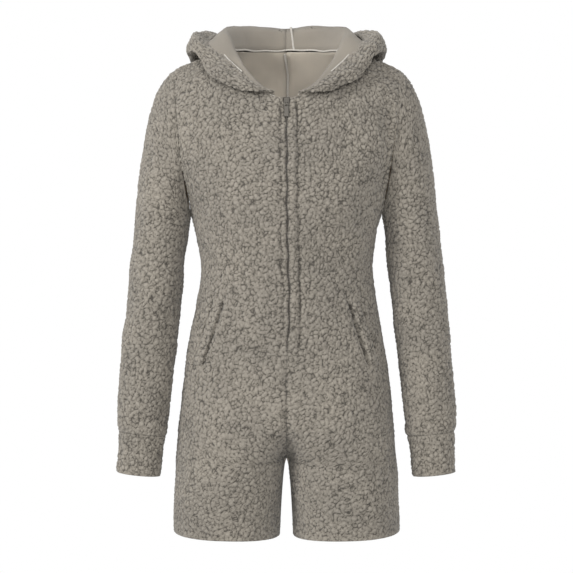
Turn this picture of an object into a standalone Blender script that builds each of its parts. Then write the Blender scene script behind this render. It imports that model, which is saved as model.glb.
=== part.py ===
"""Hooded short romper in pile fleece: worn, hollow, hanging from the shoulders with the hood down.

Frame: metres, +Z up, front towards -Y, the wearer's left at +X.  The origin is on the middle plane at
the height of the shoulders, level with the side seams.

Every cloth piece is a loft.  A short table gives the garment's size at a few heights, a smooth curve
joins the rows, and a grid of points on that form becomes an open surface with a Solidify wall inside.
"""
import math

import bmesh
import bpy
import numpy as np
from mathutils import Vector

MM = 0.001                  # the tables below are in millimetres
CLOTH = 2.6                 # wall of the fleece
SEAM = 0.3                  # each cloth edge stands this far from its seam line
ROUND = 2.3                 # power of the body's rounded section: 2 is an ellipse
COLLECTION = "hooded_short_romper"

# --- body -------------------------------------------------------------------------------------
# Size of the body at each height: half of its width, and its reach to the front and to the back.
BODY_NAMES = ("height", "half_width", "front", "back")
BODY = (
    (45, 206, 52, 76),
    (-12, 206, 71, 94),
    (-60, 203, 88, 105),
    (-115, 193, 102, 112),
    (-150, 185, 109, 114),
    (-190, 169, 114, 113),
    (-240, 152, 115, 108),      # underarm
    (-275, 144, 111, 101),
    (-332, 137.6, 100, 92),     # waist
    (-390, 146, 99, 102),
    (-442, 156, 101, 114),
    (-500, 164, 104, 124),      # seat
    (-557, 170, 106, 126),
    (-634, 176, 103, 114),
    (-690, 179.5, 97, 103),
    (-752, 181, 92, 95),        # leg hem
)
# Height of the shoulder line at each distance from the middle, the neck's slope included.
SHOULDER_NAMES = ("across", "height")
SHOULDER = ((0, 67), (40, 53), (87, 22), (120, 13), (155, 2), (174, -6), (192, -19), (215, -50))
# Distance of the armhole seam from the middle at each height.
ARMHOLE_NAMES = ("height", "across")
ARMHOLE = ((-240, 152), (-230, 154), (-190, 161), (-150, 167), (-115, 171), (-60, 176), (-8.9, 180))

ROLL = {"front": 110, "back": 95}   # height over which the shoulder turns over
NECK_HALF = 87                      # half width of the neck at the shoulder seam
NECK_SIDE = 22                      # height of the neck there
NECK_DROP = {"front": 85, "back": -7}
NECK_POWER = {"front": 2.4, "back": 2.0}
HOOD_START = 18                     # the hood begins this far from the front edge
SHOULDER_HALF = 180
UNDERARM = -240
FORK = -500                         # the two legs begin to part
CROTCH = -632
HEM = -752
INSEAM_OPEN = 10.5                  # half of the gap between the legs at the hem
HEM_RISE = 9                        # the hem lifts this much at the side seam
HEM_BAND = 60                       # over this height

ZIP_TOP = -63
ZIP_END = -460
ZIP_CLOSING = 12                    # height over which the edges come together at its foot
ZIP_OPEN = 2.0                      # the front edges stand this far from the middle over the zip
SLIDER_OPEN = 5.2                   # and this far beside the slider
SLIDER_REACH = 45                   # height over which they close up again

# Columns of a body panel, from its middle edge (0) to its side edge (1); the neck takes the first ones.
ACROSS = (0, 0.02, 0.07, 0.17, 0.29, 0.41, 0.53, 0.66, 0.79, 0.90, 0.98, 1)
NECK_COLUMNS = (0, 8, HOOD_START, 39, 60, 77, NECK_HALF)
SHOULDER_COLUMNS = (108, 131, 154, 175, SHOULDER_HALF)
UP_CHEST = (0.17, 0.34, 0.50, 0.64, 0.76, 0.86, 0.93, 0.97, 0.997, 1)
DOWN_BODY = (-240, -270, -300, -332, -365, -400, -430, -460, -500, -540,
             -575, -600, -616, -627, CROTCH, -655, -700, HEM)

# --- sleeve and cuff --------------------------------------------------------------------------
# A ring of the sleeve at each height: where its outer and inner sides are, its half depth, and how far
# its middle swings to the front.
SLEEVE_NAMES = ("height", "outer", "inner", "depth", "forward")
SLEEVE = (
    (-262, 243.5, 155.5, 53, 0),
    (-314, 250, 161, 51, 2),
    (-378, 255, 167, 48, 5),
    (-442, 261, 174, 44, 11),
    (-506, 266, 181, 40, 18),
    (-560, 268.5, 186, 37, 24),
    (-588, 266.5, 189.5, 34, 27),
)
SLEEVE_DOWN = (-300, -340, -380, -430, -480, -525, -562, -588)
CUFF = (
    (-589, 266.2, 190.5, 33.5, 27),
    (-603, 267, 193.5, 32, 28.5),
    (-630, 267.5, 196, 30.5, 31),
    (-652, 268, 198.5, 29.5, 33),
)
CUFF_DOWN = (-589, -603, -630, -652)
CAP_STEPS = (0.1, 0.25, 0.5, 0.75, 1)
SLEEVE_CLEAR = 0.9                  # the sleeve starts this far outside the armhole seam
CAP_START_PULL = 0.6                # how hard the cap leaves the armhole, as a share of its length
CAP_END_PULL = 0.9                  # and how hard it runs into the sleeve
CAP_LEAVES_TOP = (0.90, 0, -0.44)   # directions of the cap: leaving the shoulder,
CAP_LEAVES_FOOT = (0.2, 0, -0.98)   # leaving the underarm,
CAP_ARRIVES = (0.1, 0, -0.995)      # and joining the sleeve
SLEEVE_SLANT = 0.1                  # the rings tip with the arm, which slopes outwards
SLANT_STARTS = 200                  # and come to that slant over this height

# --- hood -------------------------------------------------------------------------------------
# The hood's fold at each place round the neck seam, 0 at its front end and 1 at the centre back: where
# it heads, in degrees from straight ahead to straight back, then how far out from the seam and how far
# up its inner crest, its underside, its far turn, its top and its open edge lie.
HOOD_NAMES = ("round", "heading", "crest_out", "crest_up", "under_out", "under_up", "turn_out",
              "turn_up", "top_out", "top_up", "edge_out", "edge_up")
HOOD = (
    (0.00, 25, 1, 3, 3, 3, 5, 3, 7, 6, 5, 9),
    (0.10, 34, 2, 3, 9, -4, 16, -8, 17, 2, 7, 7),
    (0.20, 42, 3, 4, 16, -13, 25, -21, 28, -4, 10, 5),
    (0.35, 56, 4, 6, 27, -17, 46, -28, 44, -7, 18, 3),
    (0.48, 76, 8, 15, 43, 1, 64, -4, 58, 15, 26, 9),
    (0.56, 90, 13, 25, 54, -5, 73, -1, 61, 28, 33, 13),
    (0.70, 132, 20, 41, 62, -30, 86, -38, 80, 36, 50, 34),
    (0.85, 160, 14, 36, 66, -100, 90, -135, 104, -36, 58, 18),
    (1.00, 180, 12, 29, 58, -125, 82, -168, 106, -56, 54, 8),
)
HOOD_ROWS = 14
HOOD_CLEAR = 0.7                    # the halves stand this far from the middle at the centre seam

# --- pocket welts, zip ------------------------------------------------------------------------
POCKET_TOP = (101, -381)            # across and height of the opening's upper end
POCKET_FOOT = (131, -477)
POCKET_WELT = 14
POCKET_STEPS = 6
WELT_WALL = 2.2
WELT_CLEAR = 1.2
TAPE_HALF = 13
TAPE_WALL = 1.2
TAPE_CLEAR = 0.4

SLIDER_AT = -72                     # height of the pull's axis
SLIDER_PLATE = (7.6, 2.6, 11.0)     # across, deep, high
SLIDER_RISE = 2                     # the plate's middle above the pull's axis
BRIDGE = (2.0, 3.6, 8.0)
BRIDGE_MIDDLE = 2.8                 # in front of the plate's middle
BRIDGE_SLOT = (4, 2.1, 4.8)         # across, deep, high: room for the pull's square bar to turn
SLOT_RISE = 1.3
PULL_LIFT = 2.2                     # the pull's axis in front of the plate's middle
PULL_SIZE = (6.4, 1.2, 24.0)
PULL_EYE = (3.6, 4.0, 6.0)          # the window round the bridge
PULL_BAR = 1.2                      # the bar that passes under the bridge
TILT_SPAN = (20, 5)                 # the slider lies along the cloth from this far below to this far above

SHERPA = (0.262, 0.236, 0.199)
KNIT = (0.30, 0.272, 0.232)
TAPE = (0.16, 0.145, 0.125)
METAL = (0.42, 0.41, 0.39)


def smooth_curve(knots, values, at, level):
    """Cubic through the knots with harmonic-mean slopes, so it keeps to the values' own range.

    Its two ends run level, or else straight on.
    """
    order = np.argsort(knots)
    x = np.asarray(knots, float)[order]
    y = np.asarray(values, float)[order]
    chord = np.diff(y) / np.diff(x)
    slope = np.zeros_like(y)
    product = chord[1:] * chord[:-1]
    total = np.where(product > 0, chord[1:] + chord[:-1], 1)
    slope[1:-1] = np.where(product > 0, 2 * product / total, 0)
    slope[0] = 0 if level else chord[0]
    slope[-1] = 0 if level else chord[-1]
    i = np.clip(np.searchsorted(x, at) - 1, 0, len(x) - 2)
    gap = x[i + 1] - x[i]
    t = np.clip((at - x[i]) / gap, 0, 1)
    start = y[i] * (2 * t**3 - 3 * t**2 + 1) + slope[i] * gap * (t**3 - 2 * t**2 + t)
    return start + y[i + 1] * (3 * t**2 - 2 * t**3) + slope[i + 1] * gap * (t**3 - t**2)


def column(table, names, name, at, level=False):
    """Value of one named column of a table at a place in its first column."""
    rows = np.asarray(table, float)
    return smooth_curve(rows[:, 0], rows[:, names.index(name)], np.asarray(at, float), level)


def body(name, height):
    """Size of the body at a height."""
    return column(BODY, BODY_NAMES, name, height, level=True)


def shoulder_line(across):
    """Height of the shoulder line at a distance from the middle."""
    return column(SHOULDER, SHOULDER_NAMES, "height", across, level=True)


def reach(across, height, face):
    """Distance from the side seams' plane out to the cloth of the front or the back.

    The section is a rounded ellipse, and near the shoulder line a quarter turn takes it over the top.
    """
    share = np.clip(np.abs(across) / body("half_width", height), 0, 1)
    section = (1 - share**ROUND) ** (1 / ROUND)
    drop = np.clip((shoulder_line(across) - height) / ROLL[face], 0, 1)
    return body(face, height) * section * np.sqrt(1 - (1 - drop) ** 2)


def neck_height(across, face):
    """Height of the neckline: the front dips as a power curve, the back rises a little."""
    share = (across / NECK_HALF) ** NECK_POWER[face]
    return NECK_SIDE - NECK_DROP[face] * (1 - share)


def front_edge(height):
    """How far a front edge stands from the middle: a closed seam below the zip, open beside its slider."""
    closing = np.clip((height - ZIP_END) / ZIP_CLOSING, 0, 1)
    at_slider = np.clip((height - ZIP_TOP + SLIDER_REACH) / SLIDER_REACH, 0, 1)
    return SEAM + (ZIP_OPEN - SEAM) * closing + (SLIDER_OPEN - ZIP_OPEN) * at_slider


def lower_row(height, face):
    """One row of a body panel from the middle edge to the side seam, underarm to hem.

    Above the fork it is a quarter of the body's section.  From the fork down the section's centre moves
    out, so the middle edge curves under to the crotch, and below that the row is half a leg's ring.
    """
    across = np.asarray(ACROSS)
    width = body("half_width", height)
    apart = np.clip((FORK - height) / (FORK - CROTCH), 0, 1)
    parting = 2.7 * apart**2 - 1.7 * apart**3
    below = np.clip((CROTCH - height) / (CROTCH - HEM), 0, 1)
    inside = INSEAM_OPEN * math.sqrt(below)
    centre = (width + inside) / 2 * parting
    half = width - centre
    start = -math.asin(min(1, (centre - inside) / half) ** (ROUND / 2))
    angle = start + (math.pi / 2 - start) * across
    x = centre + half * np.sign(np.sin(angle)) * np.abs(np.sin(angle)) ** (2 / ROUND)
    y = body(face, height) * np.abs(np.cos(angle)) ** (2 / ROUND)
    rise = HEM_RISE * np.clip(1 - (height - HEM) / HEM_BAND, 0, 1) * across**2
    return np.stack([x, y, height + rise], axis=-1)


def upper_rows(face):
    """Rows of a body panel from the chest to the neckline and the shoulder seam."""
    across = np.asarray(ACROSS)
    low = lower_row(UNDERARM, face)
    top_x = np.array(NECK_COLUMNS + SHOULDER_COLUMNS, float)
    at_neck = np.arange(len(top_x)) < len(NECK_COLUMNS)
    neck = neck_height(np.minimum(top_x, NECK_HALF), face)
    top_z = np.where(at_neck, neck, shoulder_line(top_x))
    rows = []
    for t in UP_CHEST:
        z = UNDERARM + (top_z - UNDERARM) * t
        side = column(ARMHOLE, ARMHOLE_NAMES, "across", z[-1])
        straight = low[-1, 0] + (SHOULDER_HALF - low[-1, 0]) * t
        x = low[:, 0] + (top_x - low[:, 0]) * t + across * (side - straight)
        y = reach(x, z, face)
        if t == 1:
            y[~at_neck] = 0
            y[len(NECK_COLUMNS) - 1] = 0
        rows.append(np.stack([x, y, z], axis=-1))
    return rows


def panel_grid(face):
    """Grid of a left body panel, hem first, front or back."""
    rows = [lower_row(height, face) for height in reversed(DOWN_BODY)]
    grid = np.array(rows + upper_rows(face))
    grid[..., 1] += SEAM
    edge = front_edge(grid[:, 0, 2]) if face == "front" else np.full(len(grid), SEAM)
    grid[:, 0, 0] = np.maximum(grid[:, 0, 0], edge)
    if face == "front":
        grid[..., 1] *= -1
    return grid


def armhole_ring(front, back):
    """Armhole seam of the left side as a closed ring: over the shoulder, down the front, up the back."""
    count = len(UP_CHEST)
    down_front = front[-count - 1:, -1][::-1]
    up_back = back[-count - 1:, -1]
    ring = np.concatenate([down_front, up_back[1:-1]])
    ring[0, 1] = 0
    ring[count, 1] = 0
    return ring


def ring_angles(ring):
    """Angle of each point of the armhole ring, shared out by its length, underarm at half a turn."""
    steps = np.linalg.norm(np.roll(ring, -1, axis=0) - ring, axis=1)
    length = np.concatenate([[0], np.cumsum(steps)[:-1]])
    half = len(ring) // 2
    total = steps.sum()
    front = math.pi * length[:half] / length[half]
    back = math.pi + math.pi * (length[half:] - length[half]) / (total - length[half])
    return np.concatenate([front, back])


def sleeve_ring(table, height, angle):
    """Ring of a sleeve or a cuff at one height."""
    outer, inner, depth, forward = (column(table, SLEEVE_NAMES, name, height) for name in SLEEVE_NAMES[1:])
    centre = (outer + inner) / 2
    slant = SLEEVE_SLANT * np.clip((SLEEVE[0][0] - height) / SLANT_STARTS, 0, 1)
    x = centre + (outer - inner) / 2 * np.cos(angle)
    y = -forward - depth * np.sin(angle)
    return np.stack([x, y, height + slant * (x - centre)], axis=-1)


def sleeve_grid(ring, angle):
    """Grid of the left sleeve: a cap from the armhole seam out and down, then a tapering tube."""
    start = ring + np.array([SLEEVE_CLEAR, 0, 0])
    end = sleeve_ring(SLEEVE, SLEEVE[0][0], angle)
    lean = ((1 + np.cos(angle)) / 2)[:, None]
    leave = lean * np.array(CAP_LEAVES_TOP) + (1 - lean) * np.array(CAP_LEAVES_FOOT)
    arrive = np.array(CAP_ARRIVES)
    length = np.linalg.norm(end - start, axis=1)[:, None]
    rows = [start]
    for t in CAP_STEPS:
        place = start * (2 * t**3 - 3 * t**2 + 1) + end * (3 * t**2 - 2 * t**3)
        pull = leave * CAP_START_PULL * (t**3 - 2 * t**2 + t) + arrive * CAP_END_PULL * (t**3 - t**2)
        rows.append(place + length * pull)
    rows += [sleeve_ring(SLEEVE, height, angle) for height in SLEEVE_DOWN]
    return np.array(rows)


def cuff_grid(angle):
    """Grid of the left cuff band."""
    return np.array([sleeve_ring(CUFF, height, angle) for height in CUFF_DOWN])


def spline(points, count):
    """Points along a Catmull-Rom curve through the stations on axis 0."""
    ends = np.concatenate([2 * points[:1] - points[1:2], points, 2 * points[-1:] - points[-2:-1]])
    at = np.linspace(0, len(points) - 1, count)
    i = np.minimum(at.astype(int), len(points) - 2)
    t = (at - i).reshape((-1,) + (1,) * (points.ndim - 1))
    a, b, c, d = (ends[i + k] for k in range(4))
    return 0.5 * (2 * b + (c - a) * t + (2 * a - 5 * b + 4 * c - d) * t**2 + (3 * b - a - 3 * c + d) * t**3)


def neck_seam(front, back):
    """Left half of the neck seam, from the hood's front end over the shoulder to the centre back."""
    first = NECK_COLUMNS.index(HOOD_START)
    last = len(NECK_COLUMNS) - 1
    seam = np.concatenate([front[-1, first:last + 1], back[-1, :last][::-1]])
    seam[last - first, 1] = 0
    seam[-1, 0] = HOOD_CLEAR
    return seam


def hood_grid(seam):
    """Grid of the left half of the hood, lying down: one folded row of stations at each place."""
    steps = np.linalg.norm(np.diff(seam, axis=0), axis=1)
    place = np.concatenate([[0], np.cumsum(steps)]) / steps.sum()
    heading = np.radians(column(HOOD, HOOD_NAMES, "heading", place, level=True))
    away = np.stack([np.sin(heading), -np.cos(heading)], axis=-1)
    stations = [np.zeros((len(place), 2))]
    for name in ("crest", "under", "turn", "top", "edge"):
        out = column(HOOD, HOOD_NAMES, name + "_out", place, level=True)
        rise = column(HOOD, HOOD_NAMES, name + "_up", place, level=True)
        stations.append(np.stack([out, rise], axis=-1))
    fold = spline(np.array(stations), HOOD_ROWS)
    flat = seam[None, :, :2] + away[None] * fold[..., :1]
    rise = seam[None, :, 2] + fold[..., 1] + 2 * SEAM
    return np.concatenate([flat, rise[..., None]], axis=-1)


def welt_grid():
    """Grid of the left pocket welt, lying on the front panel outside the opening's line."""
    along = np.linspace(0, 1, POCKET_STEPS + 1)[:, None]
    over = np.linspace(0, POCKET_WELT, 3)[None, :]
    x = POCKET_TOP[0] + (POCKET_FOOT[0] - POCKET_TOP[0]) * along + over
    z = POCKET_TOP[1] + (POCKET_FOOT[1] - POCKET_TOP[1]) * along + 0 * over
    y = -reach(x, z, "front") - WELT_CLEAR - SEAM
    return np.stack([x, y, z], axis=-1)[::-1]


def tape_grid(front):
    """Grid of the left zip tape, behind the front panel's edge."""
    edge = front[:, 0]
    inside = edge[(edge[:, 2] > ZIP_END - 5) & (edge[:, 2] < ZIP_TOP + 1)]
    behind = CLOTH + TAPE_CLEAR
    columns = [np.stack([np.full(len(inside), x), inside[:, 1] + behind, inside[:, 2]], axis=-1)
               for x in (SEAM, TAPE_HALF)]
    return np.stack(columns, axis=1)


def make_material(name, colour, roughness, metallic=0.0):
    """Principled material of one sub-part."""
    material = bpy.data.materials.new(name)
    material.use_nodes = True
    shader = material.node_tree.nodes["Principled BSDF"]
    shader.inputs["Base Color"].default_value = (*colour, 1)
    shader.inputs["Roughness"].default_value = roughness
    shader.inputs["Metallic"].default_value = metallic
    material.diffuse_color = (*colour, 1)
    return material


def add_object(name, mesh, material):
    """Object of the collection, with its material."""
    mesh.materials.append(material)
    mesh.shade_smooth()
    thing = bpy.data.objects.new(name, mesh)
    bpy.data.collections[COLLECTION].objects.link(thing)
    return thing


def sheet(name, grid, wall, material, side=1, closed=False, inward=True):
    """Cloth piece from a grid of millimetres; side -1 mirrors it, closed joins its last column to its first."""
    rows, columns = grid.shape[:2]
    points = grid.reshape(-1, 3) * np.array([side, 1, 1]) * MM
    row = np.arange(rows - 1)[:, None] * columns
    col = np.arange(columns if closed else columns - 1)[None, :]
    beside = (col + 1) % columns
    corners = [row + col, row + beside, row + columns + beside, row + columns + col]
    faces = np.stack([np.broadcast_to(c, (rows - 1, col.shape[1])) for c in corners], axis=-1).reshape(-1, 4)
    if side < 0:
        faces = faces[:, ::-1]
    mesh = bpy.data.meshes.new(name)
    mesh.from_pydata(points.tolist(), [], faces.tolist())
    thing = add_object(name, mesh, material)
    solidify = thing.modifiers.new("wall", "SOLIDIFY")
    solidify.thickness = wall * MM
    solidify.offset = -1 if inward else 1
    return thing


def add_box(name, size, centre, material):
    """Box of millimetres round a centre."""
    mesh = bpy.data.meshes.new(name)
    shape = bmesh.new()
    bmesh.ops.create_cube(shape, size=1)
    bmesh.ops.scale(shape, vec=Vector(size) * MM, verts=shape.verts)
    bmesh.ops.translate(shape, vec=Vector(centre) * MM, verts=shape.verts)
    shape.to_mesh(mesh)
    shape.free()
    return add_object(name, mesh, material)


def add_cutter(name, size, centre):
    """Box that only cuts."""
    cutter = add_box(name, size, centre, bpy.data.materials["zip_metal"])
    cutter.hide_render = True
    cutter.display_type = "WIRE"
    return cutter


def cut(thing, cutter, operation="DIFFERENCE"):
    """Boolean of a cutter on a thing."""
    boolean = thing.modifiers.new(operation.lower(), "BOOLEAN")
    boolean.operation = operation
    boolean.object = cutter


def build_zip():
    """Slider on the zip, and the pull that swings on the slider's bridge."""
    low, high = SLIDER_AT - TILT_SPAN[0], SLIDER_AT + TILT_SPAN[1]
    tilt = math.atan2(float(reach(0, low, "front") - reach(0, high, "front")), high - low)
    metal = make_material("zip_metal", METAL, 0.42, 1.0)
    centre = Vector((0, -float(reach(0, SLIDER_AT, "front")), SLIDER_AT)) * MM
    axis = centre + Vector((0, -math.cos(tilt), math.sin(tilt))) * PULL_LIFT * MM

    slider = add_box("zip_slider", SLIDER_PLATE, (0, 0, SLIDER_RISE), metal)
    bridge = add_cutter("bridge_solid", BRIDGE, (0, -BRIDGE_MIDDLE, SLIDER_RISE))
    slot = add_cutter("bridge_slot", BRIDGE_SLOT, (0, -PULL_LIFT, SLOT_RISE))
    cut(slider, bridge, "UNION")
    cut(slider, slot)

    pull = add_box("zip_pull", PULL_SIZE, (0, 0, PULL_BAR / 2 - PULL_SIZE[2] / 2), metal)
    eye = add_cutter("pull_eye", PULL_EYE, (0, 0, -(PULL_BAR + PULL_EYE[2]) / 2))
    cut(pull, eye)
    for piece in (slider, bridge, slot):
        piece.location = centre
        piece.rotation_euler = (-tilt, 0, 0)
    for piece in (pull, eye):
        piece.location = axis
        piece.rotation_euler = (-tilt, 0, 0)


def build_romper():
    """All the cloth pieces, each side in turn, then the zip."""
    front = panel_grid("front")
    back = panel_grid("back")
    ring = armhole_ring(front, back)
    angle = ring_angles(ring)
    seam = neck_seam(front, back)
    for side, word in ((1, "left"), (-1, "right")):
        sherpa = make_material("fleece_" + word, SHERPA, 0.95)
        knit = make_material("hood_" + word, KNIT, 0.95)
        tape = make_material("tape_" + word, TAPE, 0.8)
        sheet("front_" + word, front, CLOTH, sherpa, side)
        sheet("back_" + word, back[:, ::-1], CLOTH, sherpa, side)
        sheet("sleeve_" + word, sleeve_grid(ring, angle), CLOTH, sherpa, side, closed=True)
        sheet("cuff_" + word, cuff_grid(angle), CLOTH, sherpa, side, closed=True)
        sheet("hood_" + word, hood_grid(seam), CLOTH, knit, side)
        sheet("pocket_welt_" + word, welt_grid(), WELT_WALL, sherpa, side, inward=False)
        sheet("zip_tape_" + word, tape_grid(front), TAPE_WALL, tape, side)
    build_zip()


def main():
    """Empty the scene and build the romper in its own collection."""
    for thing in list(bpy.data.objects):
        bpy.data.objects.remove(thing)
    collection = bpy.data.collections.new(COLLECTION)
    bpy.context.scene.collection.children.link(collection)
    build_romper()


main()
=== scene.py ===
# %% [markdown]
# # A hooded short romper in pile fleece
# The garment keeps the shape of a wearer who isn't there: it hangs from the shoulders, hollow, with
# the hood down.  Every cloth piece below is a thin closed shell on the same form as its solid in the
# frame.  The form is a formula, so the fine surface can follow it without any fitting.

# %% The frame and the tools
import math

import bmesh
import bpy
import numpy as np
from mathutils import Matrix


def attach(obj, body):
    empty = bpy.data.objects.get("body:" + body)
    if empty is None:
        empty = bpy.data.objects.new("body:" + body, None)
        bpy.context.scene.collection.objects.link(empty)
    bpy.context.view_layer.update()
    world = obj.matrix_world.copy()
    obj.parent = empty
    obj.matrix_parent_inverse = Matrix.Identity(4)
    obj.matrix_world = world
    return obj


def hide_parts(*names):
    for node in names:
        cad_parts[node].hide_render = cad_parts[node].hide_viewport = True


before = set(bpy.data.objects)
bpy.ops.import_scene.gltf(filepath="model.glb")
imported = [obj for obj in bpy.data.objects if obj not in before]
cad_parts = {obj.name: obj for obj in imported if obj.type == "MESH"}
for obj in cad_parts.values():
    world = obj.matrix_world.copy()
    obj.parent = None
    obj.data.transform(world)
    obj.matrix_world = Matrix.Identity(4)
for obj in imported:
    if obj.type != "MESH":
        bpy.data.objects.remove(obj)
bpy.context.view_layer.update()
MM = 0.001
SIDES = ((1, "left"), (-1, "right"))

# %% [markdown]
# ## Sizes
# A maker would note a garment as its widths and depths at a few heights.  The tables are those of
# the solids, in millimetres.  The seams close up here to almost nothing, because sewn cloth meets.

# %% Sizes of the body
WALL = 2.6                  # thickness of the fleece
SEAM = 0.06                 # each cloth edge stands this far from its seam line
OVERLAP = 0.5               # in the middle the halves pass each other by this, so no light shows through
NEARLY = 1.2                # a middle edge nearer than this to the middle plane is drawn shut
ROUND = 2.3                 # power of the rounded section
BODY_NAMES = ("height", "half_width", "front", "back")
BODY = (
    (45, 206, 52, 76), (-12, 206, 71, 94), (-60, 203, 88, 105), (-115, 193, 102, 112),
    (-150, 185, 109, 114), (-190, 169, 114, 113), (-240, 152, 115, 108), (-275, 144, 111, 101),
    (-332, 137.6, 100, 92), (-390, 146, 99, 102), (-442, 156, 101, 114), (-500, 164, 104, 124),
    (-557, 170, 106, 126), (-634, 176, 103, 114), (-690, 179.5, 97, 103), (-752, 181, 92, 95),
)
SHOULDER_NAMES = ("across", "height")
SHOULDER = ((0, 67), (40, 53), (87, 22), (120, 13), (155, 2), (174, -6), (192, -19), (215, -50))
ARMHOLE_NAMES = ("height", "across")
ARMHOLE = ((-240, 152), (-230, 154), (-190, 161), (-150, 167), (-115, 171), (-60, 176), (-8.9, 180))
ROLL = {"front": 110, "back": 95}
NECK_HALF, NECK_SIDE = 87, 22
NECK_DROP = {"front": 85, "back": -7}
NECK_POWER = {"front": 2.4, "back": 2.0}
HOOD_START = 18
SHOULDER_HALF, UNDERARM, FORK, CROTCH, HEM = 180, -240, -500, -632, -752
INSEAM_OPEN, HEM_RISE, HEM_BAND = 10.5, 9, 60
ZIP_TOP, ZIP_END = -63, -460
WANDER_NAMES = ("height", "aside")
WANDER = (
    (-490, 0), (-457, 0.9), (-423, 3.6), (-377, 4.8), (-315, 2.3), (-223, 0.8), (-146, 0.6), (-100, 0),
)
RIPPLE_HIGH, RIPPLE_LONG = 0.9, 8.5     # the small waves on the zip's line
ZIP_GAP, ZIP_GAP_WAVE, ZIP_GAP_LONG, SLIDER_GAP = 1.2, 0.5, 5.3, 3.9    # how far the fronts stand apart
DRAWN = 8                   # a middle edge's move fades out over this distance
NECK_SHARE = 8 / 15         # the neck takes this share of a panel's columns
# Places of the columns on the top edge, as shares of the panel, and how far out they end there.
TOP_SHARES = (0, 0.02, 0.07, 0.17, 0.29, 0.41, NECK_SHARE, 0.66, 0.79, 0.90, 0.98, 1)
TOP_ACROSS = (0, 8, HOOD_START, 39, 60, 77, NECK_HALF, 108, 131, 154, 175, SHOULDER_HALF)
COLUMNS = 151               # columns of a dense panel: about 1.9 mm apart
STEP = 1.95                 # distance of its rows
UPPER_ROWS = 171            # rows above the underarm: the first share of them rises evenly to a share
EVEN_ROWS, EVEN_RISE = 0.48, 0.58       # of the whole rise, and the others slow down to the top
PARTING = (2.7, 1.7)        # how the legs part below the fork: first a^2, less second a^3
EDGE_STEPS = (0, 0.3, 0.8, 1.6, 2.8)    # finer rows round off a free edge


# %% Curves through the tables
def smooth_curve(knots, values, at, level):
    """Cubic through the knots, its slopes the harmonic means of the chords, its ends level or straight."""
    order = np.argsort(knots)
    x, y = np.asarray(knots, float)[order], np.asarray(values, float)[order]
    chord = np.diff(y) / np.diff(x)
    slope = np.zeros_like(y)
    product = chord[1:] * chord[:-1]
    total = np.where(product > 0, chord[1:] + chord[:-1], 1)
    slope[1:-1] = np.where(product > 0, 2 * product / total, 0)
    slope[0], slope[-1] = (0, 0) if level else (chord[0], chord[-1])
    i = np.clip(np.searchsorted(x, at) - 1, 0, len(x) - 2)
    gap = x[i + 1] - x[i]
    t = np.clip((at - x[i]) / gap, 0, 1)
    start = y[i] * (2 * t**3 - 3 * t**2 + 1) + slope[i] * gap * (t**3 - 2 * t**2 + t)
    return start + y[i + 1] * (3 * t**2 - 2 * t**3) + slope[i + 1] * gap * (t**3 - t**2)


def column(table, names, name, at, level=False):
    """Value of one named column of a table at places in its first column."""
    rows = np.asarray(table, float)
    return smooth_curve(rows[:, 0], rows[:, names.index(name)], np.asarray(at, float), level)


def body(name, height):
    """Size of the body at a height."""
    return column(BODY, BODY_NAMES, name, height, level=True)


def shoulder_line(across):
    """Height of the shoulder line at a distance from the middle."""
    return column(SHOULDER, SHOULDER_NAMES, "height", across, level=True)


def reach(across, height, face):
    """How far the cloth stands from the side seams: the rounded section times a quarter turn at the top."""
    share = np.clip(np.abs(across) / body("half_width", height), 0, 1)
    section = (1 - share**ROUND) ** (1 / ROUND)
    drop = np.clip((shoulder_line(across) - height) / ROLL[face], 0, 1)
    return body(face, height) * section * np.sqrt(1 - (1 - drop) ** 2)


def ease(value):
    """Smooth step: 0 below 0, 1 above 1, 3v^2 - 2v^3 between."""
    v = np.clip(value, 0, 1)
    return v * v * (3 - 2 * v)


print("waist:", float(body("half_width", -332)) * 2, "mm across")

# %% [markdown]
# ## The body panels as forms
# The front and back are each cut in two, and body and leg are one piece.  Below the underarm a row is
# a part of the body's section, which divides into two legs from the fork down.  Above it, the rows
# blend towards the neckline and the shoulder seam.


# %% Body panels
def lower_rows(face):
    """Rows from the hem to the underarm: x = centre + half sin^(2/r), y = reach cos^(2/r) of even angles."""
    rise = np.concatenate([EDGE_STEPS, np.arange(2 * STEP + 0.7, UNDERARM - HEM, STEP)])
    height = (HEM + rise)[:, None]
    across = np.linspace(0, 1, COLUMNS)[None, :]
    width = body("half_width", height)
    apart = np.clip((FORK - height) / (FORK - CROTCH), 0, 1)
    parting = PARTING[0] * apart**2 - PARTING[1] * apart**3
    below = np.clip((CROTCH - height) / (CROTCH - HEM), 0, 1)
    inside = INSEAM_OPEN * np.sqrt(below)
    centre = (width + inside) / 2 * parting
    half = width - centre
    start = -np.arcsin(np.clip((centre - inside) / half, 0, 1) ** (ROUND / 2))
    angle = start + (math.pi / 2 - start) * across
    x = centre + half * np.sign(np.sin(angle)) * np.abs(np.sin(angle)) ** (2 / ROUND)
    y = body(face, height) * np.abs(np.cos(angle)) ** (2 / ROUND)
    lift = HEM_RISE * np.clip(1 - (height - HEM) / HEM_BAND, 0, 1) * across**2
    return np.stack([x, y, height + lift], axis=-1)


def lower_rows_at_underarm(across):
    """Distance from the middle along the underarm row."""
    return body("half_width", UNDERARM) * np.sin(math.pi / 2 * across) ** (2 / ROUND)


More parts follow.
